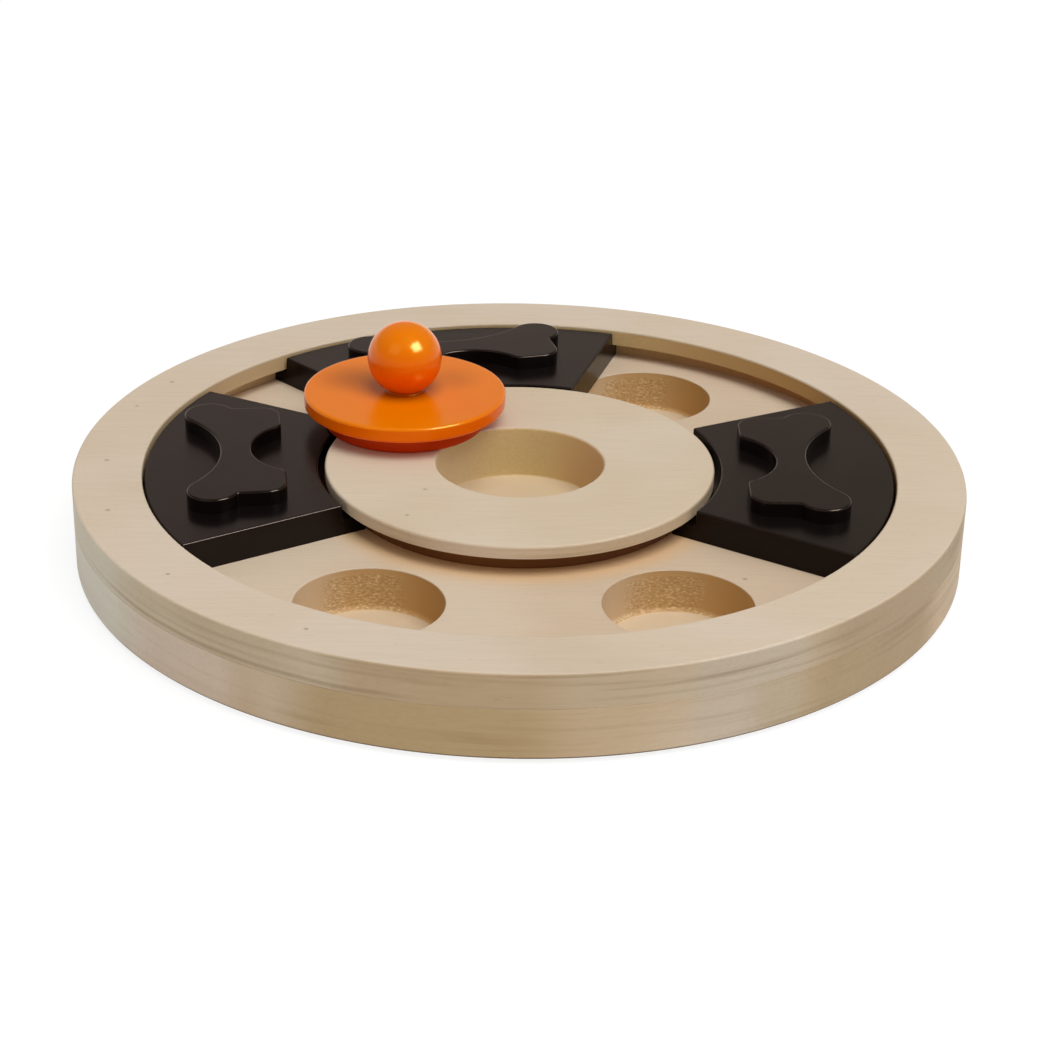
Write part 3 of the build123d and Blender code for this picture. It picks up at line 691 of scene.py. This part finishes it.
def sprayed_lacquer(name, tops, sides, roughness, gloss, gloss_tint, clear_coat, painted_shadows=()):
    """Lacquer sprayed on wood, painted lighter on tops and deeper in tone on steep sides, as
    painted light and shade. It shows orange peel about 2 mm across and a trace of the grain. The
    last argument lists round spots of painted shadow, where the colour is darker and the gloss
    duller, as (x, y, z, core radius, outer radius, colour, share) in mm."""
    lacquer = new_material(name)
    here = add_node(lacquer, "ShaderNodeTexCoord").outputs["Object"]
    facing = add_node(lacquer, "ShaderNodeNewGeometry").outputs["Normal"]
    upward = add_node(lacquer, "ShaderNodeSeparateXYZ", {0: facing}).outputs["Z"]
    # Tops are painted lighter and steep sides deeper, as painted light and shade, with a random
    # cloud of tone over it
    facing_tone_share = add_node(lacquer, "ShaderNodeMapRange", {
        "Value": upward, "From Min": -0.5, "From Max": 0.8,
    }, interpolation_type="SMOOTHSTEP").outputs[0]
    cloud = add_node(lacquer, "ShaderNodeTexNoise", {
        "Vector": here, "Scale": 40, "Detail": 2,
    }).outputs[0]
    cloud_share = add_node(lacquer, "ShaderNodeMapRange", {
        "Value": cloud, "From Min": 0.3, "From Max": 0.7, "To Min": -0.12, "To Max": 0.12,
    }).outputs[0]
    facing_tone_share = add_node(lacquer, "ShaderNodeMath", {
        0: facing_tone_share, 1: cloud_share,
    }, operation="ADD", use_clamp=True).outputs[0]
    tone = add_node(lacquer, "ShaderNodeMix", {
        0: facing_tone_share, 6: linear(sides), 7: linear(tops),
    }, data_type="RGBA").outputs[2]
    # Spots of painted shadow: the colour darkens and the clear coat thins towards each core
    for x, y, z, core, outer, colour, share in painted_shadows:
        gap = add_node(lacquer, "ShaderNodeVectorMath", {
            0: here, 1: (x * MM, y * MM, z * MM),
        }, operation="DISTANCE").outputs["Value"]
        shadow_share = add_node(lacquer, "ShaderNodeMapRange", {
            "Value": gap, "From Min": outer * MM, "From Max": core * MM, "To Max": share,
        }, interpolation_type="SMOOTHSTEP").outputs[0]
        tone = add_node(lacquer, "ShaderNodeMix", {
            0: shadow_share, 6: tone, 7: linear(colour),
        }, data_type="RGBA").outputs[2]
        still_clear = add_node(lacquer, "ShaderNodeMath", {0: 1, 1: shadow_share}, operation="SUBTRACT")
        clear_coat = add_node(lacquer, "ShaderNodeMath", {
            0: clear_coat, 1: still_clear.outputs[0],
        }, operation="MULTIPLY").outputs[0]
    peel = add_node(lacquer, "ShaderNodeTexNoise", {
        "Vector": here, "Scale": 450, "Detail": 1,
    }).outputs[0]
    grain_place = add_node(lacquer, "ShaderNodeMapping", {
        "Vector": here, "Scale": (0.12 / MM, 1.4 / MM, 1.4 / MM),
    }).outputs[0]
    grain = add_node(lacquer, "ShaderNodeTexNoise", {
        "Vector": grain_place, "Scale": 1, "Detail": 3,
    }).outputs[0]
    levelled = add_node(lacquer, "ShaderNodeBump", {
        "Height": peel, "Strength": 0.25, "Distance": 0.05 * MM,
    }).outputs[0]
    levelled = add_node(lacquer, "ShaderNodeBump", {
        "Height": grain, "Strength": 0.1, "Distance": 0.03 * MM, "Normal": levelled,
    }).outputs[0]
    hazy = add_node(lacquer, "ShaderNodeMapRange", {
        "Value": cloud, "From Min": 0.3, "From Max": 0.7,
        "To Min": roughness, "To Max": roughness + 0.06,
    }).outputs[0]
    surface = add_node(lacquer, "ShaderNodeBsdfPrincipled", {
        "Base Color": tone, "Roughness": hazy, "IOR": 1.5,
        "Specular IOR Level": gloss, "Specular Tint": linear(gloss_tint), "Normal": levelled,
        "Coat Weight": clear_coat, "Coat Roughness": 0.04, "Coat Normal": levelled,
    }).outputs[0]
    add_node(lacquer, "ShaderNodeOutputMaterial", {"Surface": surface})
    return lacquer


def rounded(work, edges, radius):
    bmesh.ops.bevel(
        work, geom=edges, affect="EDGES", offset=radius, offset_type="OFFSET", segments=4,
        profile=0.5, material=-1,
    )


def corner_edges(work, test):
    """Edges where two faces meet at a steep angle and both ends pass the test."""
    steep = [edge for edge in work.edges if edge.calc_face_angle(0) > STEEP_CORNER]
    return [edge for edge in steep if all(test(end.co) for end in edge.verts)]


dark_lacquer = sprayed_lacquer("dark_brown_lacquer", "#0F0B0A", "#0A0606", 0.2, 0.18, "#FFE6D4", 0)
for side, angle in SLIDER_ANGLES.items():
    slider = bmesh.new()
    turned(slider, [
        (FLANGE_INNER_RADIUS, BASE_TOP), (FLANGE_OUTER_RADIUS, BASE_TOP),
        (FLANGE_OUTER_RADIUS, FLANGE_TOP), (SLIDER_OUTER_RADIUS, FLANGE_TOP),
        (SLIDER_OUTER_RADIUS, SLIDER_TOP), (SLIDER_INNER_RADIUS, SLIDER_TOP),
        (SLIDER_INNER_RADIUS, FLANGE_TOP), (FLANGE_INNER_RADIUS, FLANGE_TOP),
    ], angle=radians(SLIDER_ANGLE), steps=48, closed=True)
    open_ends = [edge for edge in slider.edges if edge.is_boundary]
    bmesh.ops.edgeloop_fill(slider, edges=open_ends)
    bmesh.ops.recalc_face_normals(slider, faces=slider.faces)
    uprights = [
        edge for edge in corner_edges(slider, lambda end: end.z > FLANGE_TOP - LEVEL_TOLERANCE)
        if abs(edge.verts[0].co.z - edge.verts[1].co.z) > UPRIGHT_RISE
    ]
    rounded(slider, uprights, SLIDER_CORNER_ROUND)
    top_edges = corner_edges(slider, lambda end: end.z > SLIDER_TOP - LEVEL_TOLERANCE)
    rounded(slider, top_edges, SLIDER_TOP_ROUND)
    first_end = Matrix.Rotation(radians(angle - SLIDER_ANGLE / 2), 3, "Z")
    bmesh.ops.rotate(slider, verts=slider.verts, matrix=first_end)
    dress(slider, f"slider_{side}_body", [dark_lacquer])


# Grips
# A flat dog bone on each slider, sawn from board, its top edge rounded over, glued and screwed
# from below, and sprayed with the same lacquer.

GRIP_THICKNESS = 4.2
GRIP_TOP_ROUND = 0.6

for side in SLIDER_ANGLES:
    node = f"slider_{side}_grip"
    grip = bmesh.new()
    grip.from_mesh(frame["nodes"][node].data)
    bmesh.ops.scale(grip, verts=grip.verts, vec=(1 / MM, 1 / MM, 1 / MM))
    bmesh.ops.remove_doubles(grip, verts=grip.verts, dist=SAME_POINT)
    bmesh.ops.delete(grip, geom=grip.faces[:], context="FACES_ONLY")
    sawn_level = SLIDER_TOP + GRIP_THICKNESS - GRIP_TOP_ROUND
    others = [
        edge for edge in grip.edges
        if any(abs(end.co.z - sawn_level) > LEVEL_TOLERANCE for end in edge.verts)
    ]
    bmesh.ops.delete(grip, geom=others, context="EDGES")
    bmesh.ops.translate(grip, verts=grip.verts, vec=(0, 0, SLIDER_TOP - sawn_level))
    underside = bmesh.ops.edgeloop_fill(grip, edges=grip.edges)["faces"]
    top = bmesh.ops.extrude_face_region(grip, geom=underside)["geom"]
    top_points = [part for part in top if isinstance(part, bmesh.types.BMVert)]
    bmesh.ops.translate(grip, verts=top_points, vec=(0, 0, GRIP_THICKNESS))
    bmesh.ops.recalc_face_normals(grip, faces=grip.faces)
    top_level = SLIDER_TOP + GRIP_THICKNESS
    top_edges = corner_edges(grip, lambda end: end.z > top_level - LEVEL_TOLERANCE)
    rounded(grip, top_edges, GRIP_TOP_ROUND)
    dress(grip, node, [dark_lacquer])


# Lid
# A turned disc on a smaller plug, with a ball knob screwed on from below. All three are dipped in
# bright orange lacquer, thicker and glossier than the sprayed coat on the sliders. Round the ball's
# foot, on its lower part and in soft spots either side of it the orange is painted darker, as
# painted shadow and shade of the ball, and the plug is painted a deeper red, as painted shade
# under the disc.

LID_DISC_RADIUS = 28.7
LID_DISC_ROUND = 0.9
LID_PLUG_RADIUS = 22.8
LID_PLUG_ROUND = 0.6
LID_SCREW_SINK = 0.5
BALL_RADIUS = 10.5
BALL_SEAT_RADIUS = 4.0
BALL_COVE_RADIUS = 0.4
DISC_BOTTOM, DISC_TOP = levels("lid_disc")

disc_low, disc_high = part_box("lid_disc")
lid_place = ((disc_low + disc_high) / 2 / MM).to_2d()
lid_x, lid_y = lid_place
orange_lacquer = sprayed_lacquer(
    "orange_lacquer", "#EE7C00", "#F25A00", 0.15, 0.3, "#FFE268", 0.1,
    # Painted shadows of the ball either side of it, and painted shade on its lower part and round
    # its foot
    painted_shadows=[
        (lid_x - 15, lid_y + 8, DISC_TOP, 1, 14, "#5A2A00", 0.4),
        (lid_x + 13, lid_y + 8, DISC_TOP, 1, 12, "#5A2A00", 0.24),
        (lid_x, lid_y, DISC_TOP, 8, 13, "#9A5400", 0.36),
        (lid_x, lid_y, DISC_TOP, 5.5, 6.1, "#A01C00", 0.5),
    ],
)
# The plug's orange is painted darker and redder, as painted shade under the disc
shaded_orange_lacquer = sprayed_lacquer(
    "shaded_orange_lacquer", "#C83A00", "#BE2E00", 0.25, 0.25, "#FFD088", 0.05,
)

plug = bmesh.new()
plug_seat = PLATE_TOP + LID_SCREW_SINK
plug_hole_end = plug_seat + COUNTERSINK_HEIGHT
turned(plug, [
    (0, plug_hole_end), (SCREW_HOLE_RADIUS, plug_hole_end),
    (SCREW_HEAD_RADIUS, plug_seat), (SCREW_HEAD_RADIUS, PLATE_TOP),
    (LID_PLUG_RADIUS, PLATE_TOP, LID_PLUG_ROUND), (LID_PLUG_RADIUS, DISC_BOTTOM), (0, DISC_BOTTOM),
], centre=lid_place)
dress(plug, "lid_plug", [shaded_orange_lacquer])

disc = bmesh.new()
turned(disc, [
    (0, DISC_BOTTOM), (LID_DISC_RADIUS, DISC_BOTTOM, LID_DISC_ROUND),
    (LID_DISC_RADIUS, DISC_TOP, LID_DISC_ROUND), (0, DISC_TOP),
], centre=lid_place)
dress(disc, "lid_disc", [orange_lacquer])

ball = bmesh.new()
ball_centre = Vector((0, 0, DISC_TOP + sqrt(BALL_RADIUS**2 - BALL_SEAT_RADIUS**2)))
cove_height = DISC_TOP + BALL_COVE_RADIUS
cove_reach = sqrt((BALL_RADIUS + BALL_COVE_RADIUS) ** 2 - (ball_centre.z - cove_height) ** 2)
cove_centre = Vector((cove_reach, 0, cove_height))
to_ball = ball_centre - cove_centre
foot_middle = ball.verts.new((0, 0, DISC_TOP))
foot_edge = ball.verts.new((cove_reach, 0, DISC_TOP))
ball.edges.new((foot_middle, foot_edge))
neck = bmesh.ops.spin(
    ball, geom=[foot_edge], cent=cove_centre, axis=(0, 1, 0), steps=8,
    angle=to_ball.angle(Vector((0, 0, -1))),
)["geom_last"]
bmesh.ops.spin(
    ball, geom=neck, cent=ball_centre, axis=(0, -1, 0), steps=64,
    angle=to_ball.angle(Vector((0, 0, -1))),
)
swept(ball, set(), tau, 128)
bmesh.ops.translate(ball, verts=ball.verts, vec=(*lid_place, 0))
dress(ball, "lid_ball_knob", [orange_lacquer])


# Screws
# Countersunk wood screws of zinc-plated steel, driven from below: three through the board and
# hub into the plate, two into each grip and one up through the lid into its knob. The plating
# is a pale grey metal with a fine dull mottle.

zinc = new_material("zinc_plated_steel")
on_zinc = add_node(zinc, "ShaderNodeTexCoord").outputs["Object"]
mottle = add_node(zinc, "ShaderNodeTexNoise", {
    "Vector": on_zinc, "Scale": 900, "Detail": 3,
}).outputs[0]
spangle = add_node(zinc, "ShaderNodeMix", {
    0: mottle, 6: linear("#B9BBBB"), 7: linear("#D8D6CE"),
}, data_type="RGBA").outputs[2]
dull = add_node(zinc, "ShaderNodeMapRange", {
    "Value": mottle, "From Min": 0.3, "From Max": 0.7, "To Min": 0.24, "To Max": 0.42,
}).outputs[0]
bright = add_node(zinc, "ShaderNodeBsdfPrincipled", {
    "Base Color": spangle, "Metallic": 1.0, "Roughness": dull,
}).outputs[0]
add_node(zinc, "ShaderNodeOutputMaterial", {"Surface": bright})

for node in ("centre_screws", "slider_right_screws", "slider_back_screws", "slider_left_screws",
             "lid_knob_screw"):
    screws = bmesh.new()
    screws.from_mesh(frame["nodes"][node].data)
    bmesh.ops.scale(screws, verts=screws.verts, vec=(1 / MM, 1 / MM, 1 / MM))
    dress(screws, node, [zinc])


# Floor
# A plain sweep of matt paper. It looks white to the camera and in reflections, still takes the
# shadow, and throws light back up under the board.


def looked_at(owner, ray):
    """1 on rays from the camera, from a reflection or through glass, and 0 on rays of light."""
    seen = add_node(owner, "ShaderNodeMath", {
        0: ray["Is Camera Ray"], 1: ray["Is Glossy Ray"],
    }, operation="MAXIMUM").outputs[0]
    return add_node(owner, "ShaderNodeMath", {
        0: seen, 1: ray["Is Transmission Ray"],
    }, operation="MAXIMUM").outputs[0]


floor_mesh = bpy.data.meshes.new("floor")
sweep = bmesh.new()
bmesh.ops.create_grid(sweep, x_segments=1, y_segments=1, size=20)
sweep.to_mesh(floor_mesh)
sweep.free()
floor = bpy.data.objects.new("floor", floor_mesh)
bpy.context.scene.collection.objects.link(floor)
paper = new_material("white_paper_sweep")
floor_ray = add_node(paper, "ShaderNodeLightPath").outputs
lit = add_node(paper, "ShaderNodeBsdfDiffuse", {"Color": (0.8, 0.8, 0.8, 1)}).outputs[0]
shaded = add_node(paper, "ShaderNodeBsdfDiffuse", {"Color": (0.2, 0.2, 0.2, 1)}).outputs[0]
glow = add_node(paper, "ShaderNodeEmission", {"Strength": 0.85}).outputs[0]
white = add_node(paper, "ShaderNodeAddShader", {0: shaded, 1: glow}).outputs[0]
shown = add_node(paper, "ShaderNodeMixShader", {
    0: looked_at(paper, floor_ray), 1: lit, 2: white,
}).outputs[0]
add_node(paper, "ShaderNodeOutputMaterial", {"Surface": shown})
floor_mesh.materials.append(paper)


# Light
# An even grey room that turns white towards the horizon. Glossy finishes show it warm, and
# brightest on the left. One broad soft key stands high on the right in front, and two windows
# show only in glossy finishes.

ROOM_LEVEL = 0.36
HORIZON_LEVEL = 0.8
HORIZON_WHITE = 1.0
HORIZON_TOP = radians(8)
ROOM_BEGINS = radians(18)

world = bpy.data.worlds.new("studio")
world.use_nodes = True
world.node_tree.nodes.clear()
bpy.context.scene.world = world
towards = add_node(world, "ShaderNodeTexCoord").outputs["Generated"]
height = add_node(world, "ShaderNodeSeparateXYZ", {0: towards}).outputs["Z"]
room_ray = add_node(world, "ShaderNodeLightPath").outputs
horizon = add_node(world, "ShaderNodeMapRange", {
    "Value": looked_at(world, room_ray), "To Min": HORIZON_LEVEL, "To Max": HORIZON_WHITE,
}).outputs[0]
strength = add_node(world, "ShaderNodeMapRange", {
    "Value": height, "From Min": sin(HORIZON_TOP), "From Max": sin(ROOM_BEGINS),
    "To Min": horizon, "To Max": ROOM_LEVEL,
}, interpolation_type="SMOOTHSTEP").outputs[0]
sideways = add_node(world, "ShaderNodeSeparateXYZ", {0: towards}).outputs["X"]
to_the_right = add_node(world, "ShaderNodeMapRange", {
    "Value": sideways, "From Min": 0, "From Max": 0.16,
}, interpolation_type="SMOOTHSTEP").outputs[0]
warm_wall = add_node(world, "ShaderNodeMix", {
    0: to_the_right, 6: (1.36, 1.09, 0.96, 1), 7: (1.04, 0.85, 0.7, 1),
}, data_type="RGBA").outputs[2]
room_tint = add_node(world, "ShaderNodeMix", {
    0: room_ray["Is Glossy Ray"], 6: (1, 1, 1, 1), 7: warm_wall,
}, data_type="RGBA").outputs[2]
room = add_node(world, "ShaderNodeBackground", {
    "Color": room_tint, "Strength": strength,
}).outputs[0]
add_node(world, "ShaderNodeOutputWorld", {"Surface": room})

for name, direction, distance, width, depth, watts in (
    ("soft_key", Vector((0.224, -0.320, 0.920)), 2.3, 1.6, 1.6, 35),
    ("right_window", Vector((0.545, -0.370, 0.754)), 1.2, 0.62, 0.52, 36),
    ("left_window", Vector((-0.5, -0.55, 0.7)), 1.2, 0.7, 0.7, 2.0),
):
    area = bpy.data.lights.new(name, "AREA")
    area.shape = "RECTANGLE"
    area.size = width
    area.size_y = depth
    area.energy = watts
    lamp = bpy.data.objects.new(name, area)
    bpy.context.scene.collection.objects.link(lamp)
    lamp.visible_diffuse = name == "soft_key"
    lamp.visible_glossy = name != "soft_key"
    aim = direction.to_track_quat("Z", "Y").to_matrix().to_4x4()
    lamp.matrix_world = Matrix.Translation(direction.normalized() * distance) @ aim


# Camera
# Looks down on the board from the front at about 26 degrees, 0.7 m away and a little to the
# left, through a long lens. It is rolled by one degree.

CAMERA_PLACE = Vector((-15.57, -637.1, 310.6)) * MM
CAMERA_TARGET = Vector((0, 0, 1)) * MM
CAMERA_ROLL = radians(0.991)
lens = bpy.data.cameras.new("camera")
lens.lens = 87.246
lens.sensor_width = 36
lens.shift_x = 0.00148
lens.shift_y = 0.01439
camera = bpy.data.objects.new("camera", lens)
bpy.context.scene.collection.objects.link(camera)
bpy.context.scene.camera = camera
view_line = (CAMERA_TARGET - CAMERA_PLACE).normalized()
rightward = view_line.cross(Vector((0, 0, 1))).normalized()
turn = Matrix((rightward, rightward.cross(view_line), -view_line)).transposed().to_4x4()
roll = Matrix.Rotation(CAMERA_ROLL, 4, "Z")
camera.matrix_world = Matrix.Translation(CAMERA_PLACE) @ turn @ roll
bpy.context.scene.view_settings.view_transform = "Standard"
